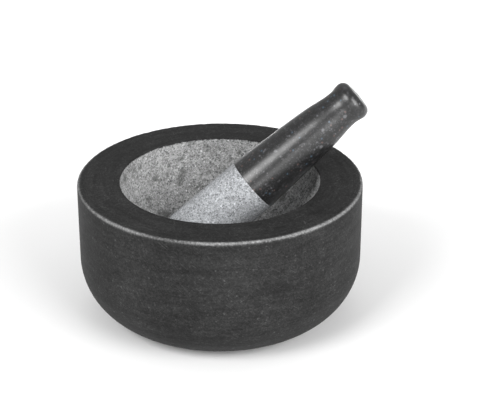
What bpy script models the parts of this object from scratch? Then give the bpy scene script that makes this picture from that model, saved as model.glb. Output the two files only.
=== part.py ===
"""Granite mortar and pestle: a heavy turned mortar on a flat foot, and a turned pestle leaning in it.

Each piece is one solid of stone. The mortar is turned about Z and stands on z = 0. The pestle is
turned about its own long axis: its rounded tip sits on the wall of the bowl, and its handle leans out
over the rim towards +X. Units are metres and +Z is up.
"""
import math

import bpy

COLLECTION_NAME = "molcajete"

# Mortar: outside
OUTER_RADIUS = 0.100
HEIGHT = 0.101
RIM_EDGE_RADIUS = 0.002        # rounding of the rim's outer edge
WALL_TAPER = 0.0005            # the wall draws in by this much from the rim to the start of the round base
BASE_CURVE_RADIUS = 0.0456     # large round between the wall and the flat foot

# Mortar: bowl, half of a ball below a short rounded lip
BOWL_RADIUS = 0.070
LIP_RADIUS = 0.001             # rounding of the rim's inner edge

# Pestle, measured along its axis
TIP_RADIUS = 0.0204            # radius of the ball-shaped grinding tip
HEAD_LENGTH = 0.0805           # roughened head, from the tip to where the polished handle starts
HANDLE_STATIONS = (            # height above the head, radius, slope of the outline
    (0.0000, 0.0201, -0.045),  # foot of the handle, as wide as the head
    (0.0350, 0.0181, -0.058),
    (0.0620, 0.0161, -0.090),
    (0.0832, 0.0136, 0.0),     # waist
    (0.0908, 0.0147, 0.0),     # knob, where the rounding of the end begins
)
END_EDGE_RADIUS = 0.006        # rounding between the knob and the end face
END_DOME = 0.0008              # how far the end face rises at its middle

# Pestle: how it stands in the bowl
PESTLE_ELEVATION = 39.4        # degrees from the horizontal up to the axis
PESTLE_BEARING = 10.9          # degrees from +X towards +Y, seen from above
TIP_REACH = 0.02306            # from the mortar's axis to the middle of the tip, away from the handle
CONTACT_GAP = 0.0004           # clearance between the tip and the wall of the bowl

MORTAR_STEPS = 72
PESTLE_STEPS = 48
MERGE_DISTANCE = 0.00001

# Material values: colour, roughness and metallic
HONED_GRANITE = ((0.052, 0.052, 0.054), 0.48, 0.0)
POLISHED_GRANITE = ((0.030, 0.030, 0.033), 0.30, 0.0)


def clear_scene():
    for obj in list(bpy.data.objects):
        bpy.data.objects.remove(obj, do_unlink=True)


def make_collection():
    collection = bpy.data.collections.new(COLLECTION_NAME)
    bpy.context.scene.collection.children.link(collection)
    return collection


def make_material(name, values):
    colour, roughness, metallic = values
    material = bpy.data.materials.new(name)
    material.use_nodes = True
    shader = material.node_tree.nodes["Principled BSDF"]
    shader.inputs["Base Color"].default_value = (*colour, 1.0)
    shader.inputs["Roughness"].default_value = roughness
    shader.inputs["Metallic"].default_value = metallic
    return material


def arc(centre, radius, start_degrees, end_degrees, count):
    """Points (radius from the axis, height) of an arc, with both ends included."""
    points = []
    for i in range(count + 1):
        angle = math.radians(start_degrees + (end_degrees - start_degrees) * i / count)
        points.append((centre[0] + radius * math.cos(angle), centre[1] + radius * math.sin(angle)))
    return points


def handle_run(lower, upper, head_top, count=5):
    """Smooth outline between two stations of the handle, without its first point."""
    span = upper[0] - lower[0]
    points = []
    for i in range(1, count + 1):
        t = i / count
        radius = (
            (2 * t**3 - 3 * t**2 + 1) * lower[1]
            + (t**3 - 2 * t**2 + t) * span * lower[2]
            + (3 * t**2 - 2 * t**3) * upper[1]
            + (t**3 - t**2) * span * upper[2]
        )
        points.append((radius, head_top + lower[0] + t * span))
    return points


def mortar_profile():
    """From the middle of the bowl's floor, up and over the rim, and down the outside to the foot."""
    bowl_centre = (0.0, HEIGHT - LIP_RADIUS)
    wall_foot_radius = OUTER_RADIUS - WALL_TAPER
    points = arc(bowl_centre, BOWL_RADIUS, -90, 0, 18)
    points[0] = (0.0, HEIGHT - LIP_RADIUS - BOWL_RADIUS)
    points += arc((BOWL_RADIUS + LIP_RADIUS, HEIGHT - LIP_RADIUS), LIP_RADIUS, 180, 90, 3)[1:]
    points += arc((OUTER_RADIUS - RIM_EDGE_RADIUS, HEIGHT - RIM_EDGE_RADIUS), RIM_EDGE_RADIUS, 90, 0, 4)
    base_centre = (wall_foot_radius - BASE_CURVE_RADIUS, BASE_CURVE_RADIUS)
    points += arc(base_centre, BASE_CURVE_RADIUS, 0, -90, 14)
    points.append((0.0, 0.0))
    return points


def pestle_profile():
    """From the end of the handle down to the tip, with the middle of the tip's ball at height 0."""
    head_top = HEAD_LENGTH - TIP_RADIUS
    end_height = head_top + HANDLE_STATIONS[-1][0] + END_EDGE_RADIUS + END_DOME
    rising = arc((0.0, 0.0), TIP_RADIUS, -90, 0, 10)
    rising[0] = (0.0, -TIP_RADIUS)
    rising.append((HANDLE_STATIONS[0][1], head_top))
    for lower, upper in zip(HANDLE_STATIONS, HANDLE_STATIONS[1:]):
        rising += handle_run(lower, upper, head_top)
    knob_radius = HANDLE_STATIONS[-1][1]
    edge_centre = (knob_radius - END_EDGE_RADIUS, head_top + HANDLE_STATIONS[-1][0])
    rising += arc(edge_centre, END_EDGE_RADIUS, 0, 80, 6)[1:]
    rising.append((0.0, end_height))
    return rising[::-1]


def turned_piece(name, profile, steps, material, collection):
    """A solid of revolution about its own Z axis."""
    mesh = bpy.data.meshes.new(name)
    vertices = [(radius, 0.0, height) for radius, height in profile]
    edges = [(i, i + 1) for i in range(len(vertices) - 1)]
    mesh.from_pydata(vertices, edges, [])
    mesh.materials.append(material)
    piece = bpy.data.objects.new(name, mesh)
    collection.objects.link(piece)
    screw = piece.modifiers.new("turn", "SCREW")
    screw.axis = "Z"
    screw.steps = steps
    screw.render_steps = steps
    screw.use_smooth_shade = True
    screw.use_merge_vertices = True
    screw.merge_threshold = MERGE_DISTANCE
    return piece


def build_mortar(collection):
    material = make_material("honed_granite", HONED_GRANITE)
    return turned_piece("mortar", mortar_profile(), MORTAR_STEPS, material, collection)


def build_pestle(collection):
    """The pestle's origin is the middle of its tip's ball, on the axis that it slides along."""
    material = make_material("polished_granite", POLISHED_GRANITE)
    pestle = turned_piece("pestle", pestle_profile(), PESTLE_STEPS, material, collection)
    bearing = math.radians(PESTLE_BEARING)
    tip_distance = BOWL_RADIUS - TIP_RADIUS - CONTACT_GAP
    tip_depth = math.sqrt(tip_distance**2 - TIP_REACH**2)
    pestle.location = (
        -TIP_REACH * math.cos(bearing),
        -TIP_REACH * math.sin(bearing),
        HEIGHT - LIP_RADIUS - tip_depth,
    )
    pestle.rotation_euler = (0.0, math.radians(90 - PESTLE_ELEVATION), bearing)
    return pestle


def main():
    clear_scene()
    collection = make_collection()
    build_mortar(collection)
    build_pestle(collection)


main()
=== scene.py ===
"""Looks of the granite mortar and pestle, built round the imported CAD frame.

Each stone is one closed turned mesh with the wear of its surface modelled: chipped rim edges, a
pecked bowl and grinding head, honed walls and a polished handle. Both stones share one granite,
worked out in nodes from the place of each point in the stone. Units are metres and +Z is up.
"""

import math

import bpy
from mathutils import Matrix, Vector, noise


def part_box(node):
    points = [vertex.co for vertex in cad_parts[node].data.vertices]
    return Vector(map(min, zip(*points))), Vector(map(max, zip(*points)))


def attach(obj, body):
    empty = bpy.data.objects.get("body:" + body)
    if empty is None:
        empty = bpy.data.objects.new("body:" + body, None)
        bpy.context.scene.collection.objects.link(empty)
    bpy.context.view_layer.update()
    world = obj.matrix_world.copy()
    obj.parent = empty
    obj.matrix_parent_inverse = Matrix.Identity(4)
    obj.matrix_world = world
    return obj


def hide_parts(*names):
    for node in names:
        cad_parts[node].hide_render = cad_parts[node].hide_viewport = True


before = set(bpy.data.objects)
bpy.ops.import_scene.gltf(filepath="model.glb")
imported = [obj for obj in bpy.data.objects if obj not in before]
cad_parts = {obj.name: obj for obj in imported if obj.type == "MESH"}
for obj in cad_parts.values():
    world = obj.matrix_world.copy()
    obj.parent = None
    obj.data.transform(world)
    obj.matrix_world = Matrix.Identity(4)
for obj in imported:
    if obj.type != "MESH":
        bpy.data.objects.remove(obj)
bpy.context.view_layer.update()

# Mortar, as in the CAD
MORTAR_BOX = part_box("mortar")
OUTER_RADIUS = MORTAR_BOX[1].x
HEIGHT = MORTAR_BOX[1].z
RIM_EDGE_RADIUS = 0.002
WALL_TAPER = 0.0005
BASE_CURVE_RADIUS = 0.0456
BOWL_RADIUS = 0.070
LIP_RADIUS = 0.001

# Pestle, as in the CAD
TIP_RADIUS = 0.0204
HEAD_LENGTH = 0.0805
HANDLE_STATIONS = (            # height above the head, radius, slope of the outline
    (0.0000, 0.0201, -0.045),
    (0.0350, 0.0181, -0.058),
    (0.0620, 0.0161, -0.090),
    (0.0832, 0.0136, 0.0),
    (0.0908, 0.0147, 0.0),
)
END_EDGE_RADIUS = 0.006
END_EDGE_DEGREES = 80          # how far the rounding turns before the end face starts
END_DOME = 0.0008
PESTLE_ELEVATION = 39.4        # degrees from the horizontal
PESTLE_BEARING = 10.9          # degrees from +X towards +Y
TIP_REACH = 0.02306
CONTACT_GAP = 0.0004

BOWL_CENTRE_HEIGHT = HEIGHT - LIP_RADIUS
HEAD_TOP = HEAD_LENGTH - TIP_RADIUS

# Mesh of the mortar: points in each ring, and steps along each part of the outline
MORTAR_SEGMENTS = 560
BOWL_STEPS = 62
LIP_STEPS = 7
RIM_STEPS = 15
RIM_CROWDING = 0.6             # how much the steps crowd towards both ends of the part, 0 to 1
EDGE_STEPS = 12
WALL_STEPS = 24
WALL_CROWDING = 0.5
BASE_STEPS = 32
FOOT_STEPS = 10

# Mesh of the pestle
PESTLE_SEGMENTS = 256
TIP_STEPS = 26
HEAD_STEPS = 46
HANDLE_STEPS = 14              # between each two stations
END_EDGE_STEPS = 12
END_STEPS = 5

# Smooth stone. A pair of numbers for a noise is the size of its lumps and an offset into it
HONED_SWELL_DEPTH = 0.00012    # low waves left by honing by hand
HONED_SWELL = (0.030, 3.1)
POLISHED_SWELL_DEPTH = 0.00006
POLISHED_SWELL = (0.018, 9.9)

# Pitted surface of the bowl and of the grinding head
PECK_DEPTH = 0.00022
BROAD_PECKS = (0.0035, 11.3)
BROAD_PECK_SHARE = 0.4
SMALL_PECKS = (0.0016, 47.9)
SMALL_PECK_SHARE = 0.6
BOWL_PECK_FADE = 0.004         # distance below the rim at which the pitting is at its full depth
HEAD_PECK_FADE = 0.002         # the same, below the border of the handle

# Wear of the rim's outer edge, whose paleness also stands for a painted highlight along the rounded edge. A
# chip's third number is how high its noise is where the stone breaks
EDGE_INSET = 0.0006            # the wear is centred this far in from the corner, both ways
EDGE_WEAR_AND_HIGHLIGHT_WIDTH = 0.0015
EDGE_WEAR_DEPTH = 0.00018      # flat that wear has rubbed along the edge
WORN_AND_HIGHLIGHT_PATCHES = (0.042, 5.7)
EDGE_CHIP_DEPTH = 0.0007       # largest chips
EDGE_CHIPS = (0.0042, 23.1, 0.52)
EDGE_CRUMBS = (0.0021, 61.7, 0.5)
CRUMB_SHARE = 0.6
LEAST_CHIPPING = 0.4           # between the worn patches
# Paleness of the edge: pale stone laid open by wear, and a painted highlight of the rounded edge
LEAST_PALENESS = 0.20
PATCH_PALENESS = 1.2
CHIP_PALENESS = 0.6

# Wear of the bowl's lip
LIP_WEAR_WIDTH = 0.0010
LIP_CHIP_DEPTH = 0.0004
LIP_CHIPS = (0.0032, 83.3, 0.5)

# Noise in the materials: detail and roughness
BREAKING_NOISE = (2.0, 0.5)
CRUMB_NOISE = (2.0, 0.6)
SCRATCH_NOISE = (1.0, 0.5)
LINE_NOISE = (3.0, 0.5)
GRAIN_NOISE = (3.0, 0.6)
CLOUD_NOISE = (4.0, 0.55)
SMUDGE_NOISE = (4.0, 0.65)

# Crystals of the granite
COARSE_CRYSTALS = 0.0011
FINE_CRYSTALS = 0.00055
CRYSTAL_SHARE = 0.5            # how much each of the two sizes counts
BREAKING_SIZE = 0.0008         # lumps that break up the outlines of the crystals
BREAKING_REACH = (0.0007, 0.0007, 0.0007)
ROUGH_GRAIN_SIZE = 0.0006
BUMP_DEPTH = 0.00022

# Flecks are given by their spacing, the share of places that have one, and their radius in spacings
CHOICE_SOFTNESS = 0.01
FLECK_OUTER_FADE = 1.15        # radii from its middle at which a fleck has faded out
FLECK_INNER_FADE = 0.6         # radii within which it is at its strongest

# Pecked stone: crushed crystal faces, from dark mica to white feldspar
PECKED_STOPS = (
    (0.00, (0.095, 0.097, 0.098)),
    (0.22, (0.226, 0.228, 0.228)),
    (0.40, (0.366, 0.368, 0.367)),
    (0.60, (0.450, 0.452, 0.452)),
    (0.80, (0.565, 0.567, 0.570)),
    (1.00, (0.840, 0.843, 0.850)),
)
PECKED_CLOUD_SIZE = 0.011
PECKED_CLOUD_SWING = 0.16
DARK_FLECKS = (0.0021, 0.20, 0.36)
DARK_FLECK_STRENGTH = 0.62
DARK_FLECK_COLOUR = (0.060, 0.065, 0.068, 1.0)
LIGHT_FLECKS = (0.0022, 0.07, 0.28)
LIGHT_FLECK_COLOUR = (0.88, 0.88, 0.90, 1.0)

# Honed stone: the same crystals, smooth, where they let the light in and look dark
HONED_STOPS = (
    (0.00, (0.012, 0.012, 0.012)),
    (0.45, (0.019, 0.019, 0.019)),
    (0.80, (0.026, 0.026, 0.026)),
    (1.00, (0.045, 0.045, 0.045)),
)
CLOUD_SIZE = 0.045
CLOUD_SWING = 0.54             # most that a pattern lightens or darkens the stone, as a share
MOTTLE_SIZE = 0.0085
MOTTLE_SWING = 0.30
GRAIN_SIZE = 0.0020
GRAIN_SWING = 0.20
LINES = (0.0020, 0.024)        # turning streaks: width and length
LINE_SWING = 0.38
BANDS = (0.0060, 0.040)
BAND_SWING = 0.42
HONED_FLECKS = (0.0028, 0.14, 0.28)
HONED_FLECK_STRENGTH = 0.45
HONED_FLECK_COLOUR = (0.095, 0.095, 0.095, 1.0)
FLECK_CLUSTERS = (0.42, 0.62)  # where in the clouds the flecks begin, and where they are strongest
RIM_START = (HEIGHT - 0.0012, HEIGHT - 0.0004)
RIM_FLECK_STRENGTH = 0.15
FIRST_SCRATCHES = ((0.4, 0.9, 0.2), 0.00035, 0.010)     # direction, width, length
SECOND_SCRATCHES = ((1.3, -0.5, 0.8), 0.00030, 0.007)
SCRATCH_CUT = (0.70, 0.76)
SCRATCH_STRENGTH = 0.22
SCRATCH_COLOUR = (0.145, 0.145, 0.145, 1.0)
HONED_ROUGHNESS = (0.46, 0.62)
HONED_LINE_RELIEF = 0.5
HONED_CRYSTAL_RELIEF = 0.3
HONED_RELIEF = 0.12
MORTAR_SPECULAR = 0.06

# Bare stone along the rim's outer edge, whose pale colour is also a painted highlight of the rounded edge
BARE_AND_HIGHLIGHT_CRUMB_SIZE = 0.0016
BARE_AND_HIGHLIGHT_CRUMB_SWING = 0.30
BARE_AND_HIGHLIGHT_CUT = (0.10, 1.05)
BARE_AND_HIGHLIGHT_STRENGTH = 0.50
RUBBED_AND_HIGHLIGHT_SHARE = 0.5             # how far rubbing and the painted highlight even out the crystals
RUBBED_AND_HIGHLIGHT_COLOUR = (0.27, 0.27, 0.27, 1.0)

# Bowl
BORDER_CRUMB_SIZE = 0.0016
BORDER_CRUMB_SWING = 0.0010
BORDER_DEPTH = (0.0003, 0.0012)
BOWL_EDGE = (BOWL_RADIUS + 0.0008, BOWL_RADIUS + 0.0004)
BELOW_BOWL_FLOOR = (0.020, 0.022)    # heights that keep the underside out of the bowl
SMUDGE_SIZE = 0.010
SMUDGE_CUT = (0.52, 0.68)
SMUDGE_STRENGTH = 0.65
SMUDGE_COLOUR = (0.105, 0.108, 0.102, 1.0)
BOWL_TINT = (0.77, 0.77, 0.77, 1.0)
BOWL_ROUGHNESS = (0.86, 0.86, 0.86, 1.0)

# Grinding head of the pestle
HEAD_EVENNESS = 0.06
HEAD_MIDDLE_COLOUR = (0.36, 0.36, 0.36, 1.0)
HEAD_TINT = (0.73, 0.75, 0.78, 1.0)
HEAD_ROUGHNESS = (0.85, 0.85, 0.85, 1.0)
HANDLE_BORDER = (HEAD_TOP - 0.0001, HEAD_TOP + 0.0001)

# Polished handle, with flecks of four colours: their sizes as above, strength, colour
POLISHED_STOPS = (
    (0.00, (0.003, 0.003, 0.003)),
    (0.45, (0.007, 0.007, 0.007)),
    (0.75, (0.016, 0.016, 0.017)),
    (1.00, (0.070, 0.070, 0.073)),
)
HANDLE_FLECKS = (
    ((0.0044, 0.04, 0.34), 0.45, (0.18, 0.18, 0.19, 1.0)),
    ((0.0024, 0.14, 0.34), 0.50, (0.13, 0.13, 0.14, 1.0)),
    ((0.0026, 0.08, 0.34), 0.45, (0.15, 0.09, 0.08, 1.0)),
    ((0.0025, 0.10, 0.34), 0.50, (0.07, 0.11, 0.15, 1.0)),
)
POLISH_MOTTLE_SIZE = 0.006
POLISH_ROUGHNESS = (0.25, 0.39)
HANDLE_LINES = (0.0012, 0.11)
HANDLE_LINE_RELIEF = 0.03
PESTLE_SPECULAR = 0.60

# Names of what the meshes tell their materials
PLACE = "place"                # where a point is in its own stone, before wear
WEAR_AND_HIGHLIGHT = "wear_and_highlight"                  # how pale an edge is there, 0 to 1, from wear and from a painted highlight

# Camera
CAMERA_DISTANCE = 1.400        # from the middle of the rim
CAMERA_ELEVATION = 24.97
CAMERA_PITCH = 25.576          # degrees down
CAMERA_YAW = 0.948             # degrees to the right
CAMERA_LENS = 143.93
CAMERA_SENSOR = 36.0

# Studio: a pale floor, an even pale world, three softboxes on the stones and one on the floor behind
FLOOR_RADIUS = 9.0
FLOOR_CORNERS = 96
FLOOR_COLOUR = (0.80, 0.80, 0.80, 1.0)
FLOOR_ROUGHNESS = 0.9
WORLD_COLOUR = (1.0, 1.0, 1.0, 1.0)
WORLD_STRENGTH = 0.56
STONES = (0.0, 0.0, 0.06)
FLOOR_BEHIND = (0.0, 1.55, 0.0)
WIDE_BEAM = 180.0
NARROW_BEAM = 75.0
SOFTBOXES = (                  # name, place, size, power, what it faces, angle of its beam in degrees
    ("right", (1.25, -1.50, 0.95), 1.40, 51.0, STONES, WIDE_BEAM),
    ("left", (-1.10, -1.35, 1.35), 0.95, 36.0, STONES, WIDE_BEAM),
    ("front", (0.05, -2.10, 0.35), 0.60, 5.6, STONES, WIDE_BEAM),
    ("back", (0.0, 1.55, 1.40), 1.60, 30.0, FLOOR_BEHIND, NARROW_BEAM),
)


# ---------------------------------------------------------------- outlines

def arc(centre, radius, start_degrees, end_degrees, count):
    """Points (distance from the axis, height) of an arc, with both ends included."""
    points = []
    for i in range(count + 1):
        angle = math.radians(start_degrees + (end_degrees - start_degrees) * i / count)
        points.append((centre[0] + radius * math.cos(angle), centre[1] + radius * math.sin(angle)))
    return points


def straight(start, end, count, crowding=0.0):
    """Points after start up to end. With crowding, they lie closer together towards both ends."""
    points = []
    for i in range(1, count + 1):
        t = i / count
        eased = t * t * (3 - 2 * t)
        t += (eased - t) * crowding
        points.append((start[0] + (end[0] - start[0]) * t, start[1] + (end[1] - start[1]) * t))
    return points


def handle_run(lower, upper, count):
    """Smooth outline between two stations of the handle, without its first point."""
    span = upper[0] - lower[0]
    points = []
    for i in range(1, count + 1):
        t = i / count
        radius = (
            (2 * t**3 - 3 * t**2 + 1) * lower[1]
            + (t**3 - 2 * t**2 + t) * span * lower[2]
            + (3 * t**2 - 2 * t**3) * upper[1]
            + (t**3 - t**2) * span * upper[2]
        )
        points.append((radius, HEAD_TOP + lower[0] + t * span))
    return points


def mortar_outline():
    """From the middle of the bowl's floor, up and over the rim, and down the outside to the foot."""
    wall_foot = (OUTER_RADIUS - WALL_TAPER, BASE_CURVE_RADIUS)
    base_centre = (wall_foot[0] - BASE_CURVE_RADIUS, BASE_CURVE_RADIUS)
    lip_centre = (BOWL_RADIUS + LIP_RADIUS, BOWL_CENTRE_HEIGHT)
    edge_centre = (OUTER_RADIUS - RIM_EDGE_RADIUS, HEIGHT - RIM_EDGE_RADIUS)
    points = arc((0.0, BOWL_CENTRE_HEIGHT), BOWL_RADIUS, -90, 0, BOWL_STEPS)
    points[0] = (0.0, BOWL_CENTRE_HEIGHT - BOWL_RADIUS)
    points += arc(lip_centre, LIP_RADIUS, 180, 90, LIP_STEPS)[1:]
    points += straight(points[-1], (edge_centre[0], HEIGHT), RIM_STEPS, RIM_CROWDING)
    points += arc(edge_centre, RIM_EDGE_RADIUS, 90, 0, EDGE_STEPS)[1:]
    points += straight(points[-1], wall_foot, WALL_STEPS, WALL_CROWDING)
    points += arc(base_centre, BASE_CURVE_RADIUS, 0, -90, BASE_STEPS)[1:]
    points += straight(points[-1], (0.0, 0.0), FOOT_STEPS)
    return points


def pestle_outline():
    """From the end of the handle down to the tip, with the middle of the tip's ball at height 0."""
    knob_height, knob_radius, _ = HANDLE_STATIONS[-1]
    edge_centre = (knob_radius - END_EDGE_RADIUS, HEAD_TOP + knob_height)
    rising = arc((0.0, 0.0), TIP_RADIUS, -90, 0, TIP_STEPS)
    rising[0] = (0.0, -TIP_RADIUS)
    rising += straight(rising[-1], (HANDLE_STATIONS[0][1], HEAD_TOP), HEAD_STEPS)
    for lower, upper in zip(HANDLE_STATIONS, HANDLE_STATIONS[1:]):
        rising += handle_run(lower, upper, HANDLE_STEPS)
    rising += arc(edge_centre, END_EDGE_RADIUS, 0, END_EDGE_DEGREES, END_EDGE_STEPS)[1:]
    end_height = edge_centre[1] + END_EDGE_RADIUS + END_DOME
    rising += straight(rising[-1], (0.0, end_height), END_STEPS)
    return rising[::-1]


# ---------------------------------------------------------------- wear, and the painted highlight of the rim's edge

def lumps(point, size, offset):
    """Smooth noise from 0 to 1 whose lumps are about size across."""
    return 0.5 + 0.5 * noise.noise(point / size + Vector((offset, offset, offset)))


def above(value, threshold):
    """0 up to the threshold, then rising to 1."""
    return max(0.0, value - threshold) / (1.0 - threshold)


def near(distance, width):
    """1 at no distance, fading out over about width."""
    return math.exp(-((distance / width) ** 2))


def broken_out(point, size, offset, threshold):
    """0 over much of the stone, rising towards 1 where its noise is highest."""
    return above(lumps(point, size, offset), threshold)


def pecked(point):
    """Depth of the pitting that a pointed hammer leaves."""
    broad = lumps(point, *BROAD_PECKS)
    small = lumps(point, *SMALL_PECKS)
    return PECK_DEPTH * (BROAD_PECK_SHARE * broad + SMALL_PECK_SHARE * small)


def edge_wear_and_highlight(point, radius):
    """How deep wear goes into the rim's outer edge at a point, and how pale the edge is there: pale stone
    from wear, and a painted highlight of the rounded edge.
    """
    from_edge = math.hypot(radius - (OUTER_RADIUS - EDGE_INSET), point.z - (HEIGHT - EDGE_INSET))
    edge = near(from_edge, EDGE_WEAR_AND_HIGHLIGHT_WIDTH)
    patches = lumps(point, *WORN_AND_HIGHLIGHT_PATCHES)
    broken = broken_out(point, *EDGE_CHIPS) + CRUMB_SHARE * broken_out(point, *EDGE_CRUMBS)
    chips = min(1.0, edge * broken * (LEAST_CHIPPING + patches))
    depth = EDGE_CHIP_DEPTH * chips + EDGE_WEAR_DEPTH * edge * patches
    paleness = edge * (LEAST_PALENESS + PATCH_PALENESS * patches) + CHIP_PALENESS * chips
    return depth, min(1.0, paleness)


def lip_wear(point, radius):
    """How deep the bowl's lip is chipped at a point."""
    lip = near(math.hypot(radius - BOWL_RADIUS, point.z - HEIGHT), LIP_WEAR_WIDTH)
    return LIP_CHIP_DEPTH * (lip * broken_out(point, *LIP_CHIPS))


def mortar_wear_and_highlight(point):
    """How deep wear goes into the mortar at a point, and how pale it is there, from wear and from the
    painted highlight of the rim's edge.
    """
    radius = math.hypot(point.x, point.y)
    depth, paleness = edge_wear_and_highlight(point, radius)
    depth += lip_wear(point, radius)
    in_bowl = radius < BOWL_RADIUS + LIP_RADIUS and point.z > BOWL_CENTRE_HEIGHT - BOWL_RADIUS - LIP_RADIUS
    if in_bowl:
        depth += pecked(point) * min(1.0, (HEIGHT - point.z) / BOWL_PECK_FADE)
    else:
        depth += HONED_SWELL_DEPTH * lumps(point, *HONED_SWELL)
    return depth, paleness


def pestle_wear(point):
    """The same for the pestle: a pecked head, and a polished handle that is a little uneven."""
    if point.z < HEAD_TOP:
        border = min(1.0, (HEAD_TOP - point.z) / HEAD_PECK_FADE)
        return pecked(point) * border, 0.0
    return POLISHED_SWELL_DEPTH * lumps(point, *POLISHED_SWELL), 0.0


# ---------------------------------------------------------------- meshes

def outward(outline, i):
    """Direction out of the stone at an outline point, as (away from the axis, up)."""
    before = outline[max(0, i - 1)]
    after = outline[min(len(outline) - 1, i + 1)]
    along = Vector((after[0] - before[0], after[1] - before[1])).normalized()
    return -along.y, along.x


def worn_ring(outline, i, segments, wear):
    """The ring at an outline point: vertices after wear, their places before wear, and their paleness."""
    radius, height = outline[i]
    away, up = outward(outline, i)
    vertices = []
    places = []
    wear_and_highlight = []
    for j in range(segments):
        angle = 2 * math.pi * j / segments
        cosine = math.cos(angle)
        sine = math.sin(angle)
        place = Vector((radius * cosine, radius * sine, height))
        depth, paleness = wear(place)
        vertices.append(place - depth * Vector((away * cosine, away * sine, up)))
        places.append(place)
        wear_and_highlight.append(paleness)
    return vertices, places, wear_and_highlight


def worn_points(outline, segments, wear):
    """The same for the whole stone: a point on the axis, all the rings, and a point on the axis."""
    start = Vector((0.0, 0.0, outline[0][1]))
    end = Vector((0.0, 0.0, outline[-1][1]))
    vertices = [start]
    places = [start]
    wear_and_highlight = [0.0]
    for i in range(1, len(outline) - 1):
        ring_vertices, ring_places, ring_wear_and_highlight = worn_ring(outline, i, segments, wear)
        vertices += ring_vertices
        places += ring_places
        wear_and_highlight += ring_wear_and_highlight
    return vertices + [end], places + [end], wear_and_highlight + [0.0]


def closed_faces(ring_count, segments):
    """Faces of a closed turned mesh: a fan at each end, and four-sided faces between the rings."""
    first_ring = 1
    last_ring = 1 + (ring_count - 1) * segments
    last_vertex = last_ring + segments
    fan_at_start = []
    fan_at_end = []
    between_rings = []
    for j in range(segments):
        k = (j + 1) % segments
        fan_at_start.append((0, first_ring + j, first_ring + k))
        fan_at_end.append((last_ring + k, last_ring + j, last_vertex))
    for first in range(first_ring, last_ring, segments):
        second = first + segments
        for j in range(segments):
            k = (j + 1) % segments
            between_rings.append((first + j, second + j, second + k, first + k))
    return fan_at_start + between_rings + fan_at_end


def tell_material(mesh, places, wear_and_highlight):
    """Keeps each point's place and paleness in the mesh, for its material to read."""
    place_data = mesh.attributes.new(PLACE, "FLOAT_VECTOR", "POINT")
    place_data.data.foreach_set("vector", [c for place in places for c in place])
    wear_and_highlight_data = mesh.attributes.new(WEAR_AND_HIGHLIGHT, "FLOAT", "POINT")
    wear_and_highlight_data.data.foreach_set("value", wear_and_highlight)


def turned_stone(name, outline, segments, wear, placement):
    """A closed mesh turned about its own Z axis, with its wear, and put in place by a matrix."""
    vertices, places, wear_and_highlight = worn_points(outline, segments, wear)
    mesh = bpy.data.meshes.new(name)
    mesh.from_pydata([placement @ v for v in vertices], [], closed_faces(len(outline) - 2, segments))
    mesh.polygons.foreach_set("use_smooth", [True] * len(mesh.polygons))
    tell_material(mesh, places, wear_and_highlight)
    piece = bpy.data.objects.new(name, mesh)
    bpy.context.scene.collection.objects.link(piece)
    return piece


# ---------------------------------------------------------------- material nodes

class Stone:
    """One material's node tree, with a short call for each kind of node that stone needs."""

    def __init__(self, name):
        self.material = bpy.data.materials.new(name)
        self.material.use_nodes = True
        self.nodes = self.material.node_tree.nodes
        self.links = self.material.node_tree.links
        self.shader = self.nodes["Principled BSDF"]

    def feed(self, socket, value):
        if isinstance(value, bpy.types.NodeSocket):
            self.links.new(value, socket)
        else:
            socket.default_value = value

    def add(self, kind, settings, inputs):
        made = self.nodes.new(kind)
        for key, value in settings.items():
            setattr(made, key, value)
        for key, value in inputs.items():
            self.feed(made.inputs[key], value)
        return made

    def attribute(self, name):
        return self.add("ShaderNodeAttribute", {"attribute_name": name}, {})

    def math(self, operation, first, second):
        return self.add("ShaderNodeMath", {"operation": operation}, {0: first, 1: second}).outputs[0]

    def vector(self, operation, first, second):
        return self.add("ShaderNodeVectorMath", {"operation": operation}, {0: first, 1: second}).outputs[0]

    def noise_node(self, where, size, detail, roughness):
        inputs = {"Vector": where, "Scale": 1.0 / size, "Detail": detail, "Roughness": roughness}
        return self.add("ShaderNodeTexNoise", {}, inputs)

    def noise(self, where, size, detail, roughness):
        """Soft noise around 0.5 whose lumps are about size across."""
        return self.noise_node(where, size, detail, roughness).outputs[0]

    def cells(self, where, size):
        """Crystals about size across: a random number for each, and the distance from its middle."""
        made = self.add("ShaderNodeTexVoronoi", {}, {"Vector": where, "Scale": 1.0 / size})
        split = self.add("ShaderNodeSeparateColor", {}, {0: made.outputs["Color"]})
        return split.outputs[0], made.outputs["Distance"]

    def between(self, value, low, high):
        """0 below low, 1 above high, and smooth in between. High may be the lower of the two."""
        inputs = {"Value": value, "From Min": low, "From Max": high}
        return self.add("ShaderNodeMapRange", {"interpolation_type": "SMOOTHSTEP"}, inputs).outputs[0]

    def spread(self, value, low, high):
        """Takes 0 to 1 onto low to high."""
        inputs = {"Value": value, "To Min": low, "To Max": high}
        return self.add("ShaderNodeMapRange", {}, inputs).outputs[0]

    def swing(self, value, middle, reach):
        """Takes 0 to 1 onto the range that reaches equally far below and above the middle."""
        return self.spread(value, middle - reach, middle + reach)

    def ramp(self, value, stops):
        made = self.add("ShaderNodeValToRGB", {}, {0: value})
        elements = made.color_ramp.elements
        while len(elements) < len(stops):
            elements.new(1.0)
        for element, (place, colour) in zip(elements, stops):
            element.position = place
            element.color = (*colour, 1.0)
        return made.outputs[0]

    def mix(self, factor, first, second, mode="MIX"):
        """Mixes two colours, which are the node's inputs 6 and 7 and its output 2."""
        settings = {"data_type": "RGBA", "blend_type": mode}
        return self.add("ShaderNodeMix", settings, {0: factor, 6: first, 7: second}).outputs[2]

    def grey(self, value):
        """The same number on all three colour channels."""
        return self.add("ShaderNodeCombineColor", {}, {0: value, 1: value, 2: value}).outputs[0]

    def bump(self, height, depth):
        inputs = {"Height": height, "Distance": depth, "Strength": 1.0}
        return self.add("ShaderNodeBump", {}, inputs).outputs[0]


# ---------------------------------------------------------------- granite that both stones share

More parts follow.
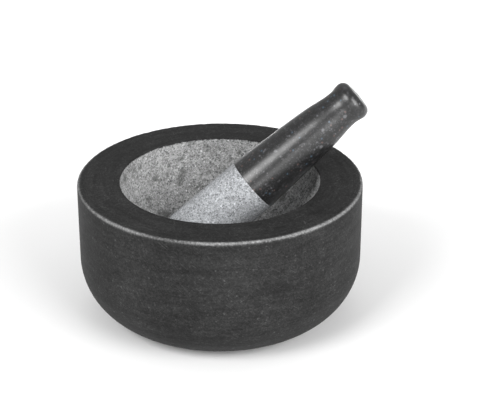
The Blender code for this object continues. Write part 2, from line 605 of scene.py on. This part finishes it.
def broken_place(stone, where):
    """Place, pushed about a little, so that the outlines of crystals are broken and not round."""
    push = stone.noise_node(where, BREAKING_SIZE, *BREAKING_NOISE).outputs["Color"]
    pushed = stone.vector("MULTIPLY", push, BREAKING_REACH)
    return stone.vector("ADD", where, pushed)


def crystals(stone, broken):
    """One number for each crystal, from coarse and fine ones together."""
    coarse, _ = stone.cells(broken, COARSE_CRYSTALS)
    fine, _ = stone.cells(broken, FINE_CRYSTALS)
    coarse_part = stone.math("MULTIPLY", coarse, CRYSTAL_SHARE)
    fine_part = stone.math("MULTIPLY", fine, CRYSTAL_SHARE)
    return stone.math("ADD", coarse_part, fine_part)


def flecks(stone, broken, spacing, share, radius):
    """Scattered single crystals: 1 on the given share of places, fading at each one's edge."""
    chance, distance = stone.cells(broken, spacing)
    chosen = stone.between(chance, 1.0 - share, 1.0 - share + CHOICE_SOFTNESS)
    shape = stone.between(distance, radius * FLECK_OUTER_FADE, radius * FLECK_INNER_FADE)
    return stone.math("MULTIPLY", chosen, shape)


def turning_lines(stone, where, along, width, length):
    """Faint streaks left by turning: about length round the axis, and width across."""
    slow = stone.vector("MULTIPLY", where, (1.0 / length, 1.0 / length, 0.0))
    fast = stone.math("MULTIPLY", along, 1.0 / width)
    parts = stone.add("ShaderNodeSeparateXYZ", {}, {0: slow})
    inputs = {0: parts.outputs[0], 1: parts.outputs[1], 2: fast}
    joined = stone.add("ShaderNodeCombineXYZ", {}, inputs).outputs[0]
    return stone.noise(joined, 1.0, *LINE_NOISE)


def surface_axes(stone, where):
    """Height, distance from the axis, and their sum, which changes both up a wall and across a rim."""
    parts = stone.add("ShaderNodeSeparateXYZ", {}, {0: where})
    level = stone.vector("MULTIPLY", where, (1.0, 1.0, 0.0))
    radius = stone.add("ShaderNodeVectorMath", {"operation": "LENGTH"}, {0: level}).outputs["Value"]
    height = parts.outputs[2]
    return height, radius, stone.math("ADD", height, radius)


def pecked_colour(stone, where, broken, tone):
    """Pale rough granite with darker clouds, and dark and light flecks."""
    cloud = stone.noise(where, PECKED_CLOUD_SIZE, *GRAIN_NOISE)
    shifted = stone.math("ADD", tone, stone.swing(cloud, 0.0, PECKED_CLOUD_SWING))
    plain = stone.ramp(shifted, PECKED_STOPS)
    dark = stone.math("MULTIPLY", flecks(stone, broken, *DARK_FLECKS), DARK_FLECK_STRENGTH)
    darkened = stone.mix(dark, plain, DARK_FLECK_COLOUR)
    light = flecks(stone, broken, *LIGHT_FLECKS)
    return stone.mix(light, darkened, LIGHT_FLECK_COLOUR)


def relief(stone, where, tone, rough, smooth_relief):
    """Height for the bump: grain and crystals where the stone is rough, on the smooth stone's relief."""
    fine_grain = stone.noise(where, ROUGH_GRAIN_SIZE, *GRAIN_NOISE)
    rough_height = stone.math("ADD", fine_grain, tone)
    return stone.math("ADD", stone.math("MULTIPLY", rough_height, rough), smooth_relief)


def finish(stone, colour, roughness, height, specular):
    """Joins what was worked out to the shader."""
    stone.feed(stone.shader.inputs["Base Color"], colour)
    stone.feed(stone.shader.inputs["Roughness"], roughness)
    stone.feed(stone.shader.inputs["Normal"], stone.bump(height, BUMP_DEPTH))
    stone.shader.inputs["Specular IOR Level"].default_value = specular
    return stone.material


# ---------------------------------------------------------------- granite of the mortar

def scratches(stone, where, angles, width, length):
    """Thin pale lines in one direction, broken up along their length."""
    inputs = {"Vector": where, "Rotation": angles}
    turned = stone.add("ShaderNodeVectorRotate", {"rotation_type": "EULER_XYZ"}, inputs).outputs[0]
    stretched = stone.vector("MULTIPLY", turned, (1.0 / width, 1.0 / length, 1.0 / length))
    return stone.between(stone.noise(stretched, 1.0, *SCRATCH_NOISE), *SCRATCH_CUT)


def honed_gain(stone, where, along, cloud, mottle, lines):
    """How light the honed stone is from place to place, around 1."""
    grain = stone.noise(where, GRAIN_SIZE, *GRAIN_NOISE)
    bands = turning_lines(stone, where, along, *BANDS)
    gain = stone.swing(cloud, 1.0, CLOUD_SWING)
    gain = stone.math("MULTIPLY", gain, stone.swing(mottle, 1.0, MOTTLE_SWING))
    gain = stone.math("MULTIPLY", gain, stone.swing(lines, 1.0, LINE_SWING))
    gain = stone.math("MULTIPLY", gain, stone.swing(grain, 1.0, GRAIN_SWING))
    return stone.math("MULTIPLY", gain, stone.swing(bands, 1.0, BAND_SWING))


def honed_flecks(stone, height, broken, cloud):
    """How strongly flecks show: in clusters, and more faintly on the rim."""
    off_rim = stone.spread(stone.between(height, *RIM_START), 1.0, RIM_FLECK_STRENGTH)
    clustered = stone.math("MULTIPLY", stone.between(cloud, *FLECK_CLUSTERS), off_rim)
    shown = stone.math("MULTIPLY", flecks(stone, broken, *HONED_FLECKS), clustered)
    return stone.math("MULTIPLY", shown, HONED_FLECK_STRENGTH)


def all_scratches(stone, where):
    """How strongly scratches show, in two directions."""
    first = scratches(stone, where, *FIRST_SCRATCHES)
    second = scratches(stone, where, *SECOND_SCRATCHES)
    return stone.math("MULTIPLY", stone.math("MAXIMUM", first, second), SCRATCH_STRENGTH)


def honed_colour(stone, tone, gain, shown_flecks, shown_scratches):
    """Dark granite, varied by the gain, with flecks and fine scratches."""
    plain = stone.ramp(tone, HONED_STOPS)
    varied = stone.mix(1.0, plain, stone.grey(gain), "MULTIPLY")
    flecked = stone.mix(shown_flecks, varied, HONED_FLECK_COLOUR)
    return stone.mix(shown_scratches, flecked, SCRATCH_COLOUR)


def bare_stone_and_highlight(stone, where, wear_and_highlight):
    """How much pale stone shows along the edge that wear has reached, also as a painted highlight, with a
    crumbled border.
    """
    crumbs = stone.noise(where, BARE_AND_HIGHLIGHT_CRUMB_SIZE, *CRUMB_NOISE)
    crumbled = stone.math("ADD", wear_and_highlight, stone.swing(crumbs, 0.0, BARE_AND_HIGHLIGHT_CRUMB_SWING))
    return stone.math("MULTIPLY", stone.between(crumbled, *BARE_AND_HIGHLIGHT_CUT), BARE_AND_HIGHLIGHT_STRENGTH)


def inside_bowl(stone, where, height, radius):
    """1 in the bowl and 0 outside it, with a ragged border just below the lip."""
    ragged = stone.noise(where, BORDER_CRUMB_SIZE, *CRUMB_NOISE)
    depth_below_rim = stone.math("SUBTRACT", HEIGHT, height)
    border = stone.math("ADD", depth_below_rim, stone.swing(ragged, 0.0, BORDER_CRUMB_SWING))
    below_lip = stone.between(border, *BORDER_DEPTH)
    inside = stone.between(radius, *BOWL_EDGE)
    above_floor = stone.between(height, *BELOW_BOWL_FLOOR)
    return stone.math("MULTIPLY", stone.math("MULTIPLY", below_lip, inside), above_floor)


def bowl_colour(stone, where, pale):
    """Pale pecked granite with ground-in smudges, darkened a little all over."""
    smudge = stone.between(stone.noise(where, SMUDGE_SIZE, *SMUDGE_NOISE), *SMUDGE_CUT)
    smudged = stone.mix(stone.math("MULTIPLY", smudge, SMUDGE_STRENGTH), pale, SMUDGE_COLOUR)
    return stone.mix(1.0, smudged, BOWL_TINT, "MULTIPLY")


def honed_relief(stone, lines, tone):
    """Slight relief of the turning streaks and the crystals."""
    line_height = stone.math("MULTIPLY", lines, HONED_LINE_RELIEF)
    crystal_height = stone.math("MULTIPLY", tone, HONED_CRYSTAL_RELIEF)
    return stone.math("MULTIPLY", stone.math("ADD", line_height, crystal_height), HONED_RELIEF)


def mortar_material():
    """Dark honed granite outside, pale pecked granite in the bowl, and pale wear along the edges, which
    also paints a highlight along the rim's rounded edge.
    """
    stone = Stone("granite_mortar")
    where = stone.attribute(PLACE).outputs["Vector"]
    wear_and_highlight = stone.attribute(WEAR_AND_HIGHLIGHT).outputs["Fac"]
    height, radius, along = surface_axes(stone, where)
    broken = broken_place(stone, where)
    tone = crystals(stone, broken)
    cloud = stone.noise(where, CLOUD_SIZE, *CLOUD_NOISE)
    mottle = stone.noise(where, MOTTLE_SIZE, *GRAIN_NOISE)
    lines = turning_lines(stone, where, along, *LINES)
    in_bowl = inside_bowl(stone, where, height, radius)
    # pale edge: stone laid open by wear, and a painted highlight of the rounded edge
    bare_and_highlight = bare_stone_and_highlight(stone, where, wear_and_highlight)
    rough = stone.math("MAXIMUM", in_bowl, bare_and_highlight)

    gain = honed_gain(stone, where, along, cloud, mottle, lines)
    shown_flecks = honed_flecks(stone, height, broken, cloud)
    honed = honed_colour(stone, tone, gain, shown_flecks, all_scratches(stone, where))
    pale = pecked_colour(stone, where, broken, tone)
    # the pale edge colour, part bare stone and part painted highlight
    rubbed_and_highlight = stone.mix(RUBBED_AND_HIGHLIGHT_SHARE, pale, RUBBED_AND_HIGHLIGHT_COLOUR)
    outside = stone.mix(bare_and_highlight, honed, rubbed_and_highlight)
    colour = stone.mix(in_bowl, outside, bowl_colour(stone, where, pale))

    honed_roughness = stone.spread(mottle, *HONED_ROUGHNESS)
    roughness = stone.mix(rough, stone.grey(honed_roughness), BOWL_ROUGHNESS)
    bump_height = relief(stone, where, tone, rough, honed_relief(stone, lines, tone))
    return finish(stone, colour, roughness, bump_height, MORTAR_SPECULAR)


# ---------------------------------------------------------------- granite of the pestle

def head_colour(stone, where, broken, tone):
    """Pale pecked granite, slightly bluish."""
    pale = pecked_colour(stone, where, broken, tone)
    evened = stone.mix(HEAD_EVENNESS, pale, HEAD_MIDDLE_COLOUR)
    return stone.mix(1.0, evened, HEAD_TINT, "MULTIPLY")


def polished_colour(stone, broken, tone):
    """Black granite with faint tinted crystals in the polish."""
    polished = stone.ramp(tone, POLISHED_STOPS)
    for sizes, strength, fleck_colour in HANDLE_FLECKS:
        shown = stone.math("MULTIPLY", flecks(stone, broken, *sizes), strength)
        polished = stone.mix(shown, polished, fleck_colour)
    return polished


def pestle_material():
    """Pale pecked granite on the head and polished black granite on the handle."""
    stone = Stone("granite_pestle")
    where = stone.attribute(PLACE).outputs["Vector"]
    height, _, along = surface_axes(stone, where)
    broken = broken_place(stone, where)
    tone = crystals(stone, broken)
    on_handle = stone.between(height, *HANDLE_BORDER)
    off_handle = stone.math("SUBTRACT", 1.0, on_handle)

    head = head_colour(stone, where, broken, tone)
    colour = stone.mix(on_handle, head, polished_colour(stone, broken, tone))

    mottle = stone.noise(where, POLISH_MOTTLE_SIZE, *GRAIN_NOISE)
    polish = stone.spread(mottle, *POLISH_ROUGHNESS)
    roughness = stone.mix(on_handle, HEAD_ROUGHNESS, stone.grey(polish))

    lines = turning_lines(stone, where, along, *HANDLE_LINES)
    handle_relief = stone.math("MULTIPLY", lines, HANDLE_LINE_RELIEF)
    bump_height = relief(stone, where, tone, off_handle, handle_relief)
    return finish(stone, colour, roughness, bump_height, PESTLE_SPECULAR)


# ---------------------------------------------------------------- pieces

def build_mortar():
    piece = turned_stone("mortar_stone", mortar_outline(), MORTAR_SEGMENTS, mortar_wear_and_highlight, Matrix.Identity(4))
    piece.data.materials.append(mortar_material())
    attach(piece, "mortar")
    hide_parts("mortar")


def pestle_placement():
    """Where the pestle leans: its tip on the wall of the bowl, and its axis up over the rim."""
    bearing = math.radians(PESTLE_BEARING)
    tip_distance = BOWL_RADIUS - TIP_RADIUS - CONTACT_GAP
    tip_depth = math.sqrt(tip_distance**2 - TIP_REACH**2)
    tip = Vector((
        -TIP_REACH * math.cos(bearing),
        -TIP_REACH * math.sin(bearing),
        BOWL_CENTRE_HEIGHT - tip_depth,
    ))
    turn = Matrix.Rotation(bearing, 4, "Z")
    lean = Matrix.Rotation(math.radians(90 - PESTLE_ELEVATION), 4, "Y")
    return Matrix.Translation(tip) @ turn @ lean


def build_pestle():
    piece = turned_stone("pestle_stone", pestle_outline(), PESTLE_SEGMENTS, pestle_wear, pestle_placement())
    piece.data.materials.append(pestle_material())
    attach(piece, "pestle")
    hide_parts("pestle")


# ---------------------------------------------------------------- studio

def build_floor():
    mesh = bpy.data.meshes.new("floor")
    corners = []
    for i in range(FLOOR_CORNERS):
        angle = 2 * math.pi * i / FLOOR_CORNERS
        corners.append((FLOOR_RADIUS * math.cos(angle), FLOOR_RADIUS * math.sin(angle), 0.0))
    mesh.from_pydata(corners, [], [tuple(range(len(corners)))])
    material = bpy.data.materials.new("pale_floor")
    material.use_nodes = True
    shader = material.node_tree.nodes["Principled BSDF"]
    shader.inputs["Base Color"].default_value = FLOOR_COLOUR
    shader.inputs["Roughness"].default_value = FLOOR_ROUGHNESS
    mesh.materials.append(material)
    floor = bpy.data.objects.new("floor", mesh)
    bpy.context.scene.collection.objects.link(floor)


def soft_light(name, location, size, power, facing, beam):
    """A square softbox."""
    light = bpy.data.lights.new(name, "AREA")
    light.shape = "SQUARE"
    light.size = size
    light.energy = power
    light.spread = math.radians(beam)
    lamp = bpy.data.objects.new(name, light)
    lamp.location = location
    aim = Vector(facing) - Vector(location)
    lamp.rotation_euler = aim.to_track_quat("-Z", "Y").to_euler()
    bpy.context.scene.collection.objects.link(lamp)


def build_world():
    world = bpy.data.worlds.new("studio")
    world.use_nodes = True
    background = world.node_tree.nodes["Background"]
    background.inputs["Color"].default_value = WORLD_COLOUR
    background.inputs["Strength"].default_value = WORLD_STRENGTH
    bpy.context.scene.world = world


def build_lights():
    build_world()
    for softbox in SOFTBOXES:
        soft_light(*softbox)


def build_camera():
    data = bpy.data.cameras.new("camera")
    data.lens = CAMERA_LENS
    data.sensor_width = CAMERA_SENSOR
    camera = bpy.data.objects.new("camera", data)
    elevation = math.radians(CAMERA_ELEVATION)
    camera.location = (
        0.0,
        -CAMERA_DISTANCE * math.cos(elevation),
        HEIGHT + CAMERA_DISTANCE * math.sin(elevation),
    )
    camera.rotation_euler = (math.radians(90 - CAMERA_PITCH), 0.0, math.radians(-CAMERA_YAW))
    bpy.context.scene.collection.objects.link(camera)
    bpy.context.scene.camera = camera


bpy.context.scene.view_settings.view_transform = "Standard"
build_mortar()
build_pestle()
build_floor()
build_lights()
build_camera()
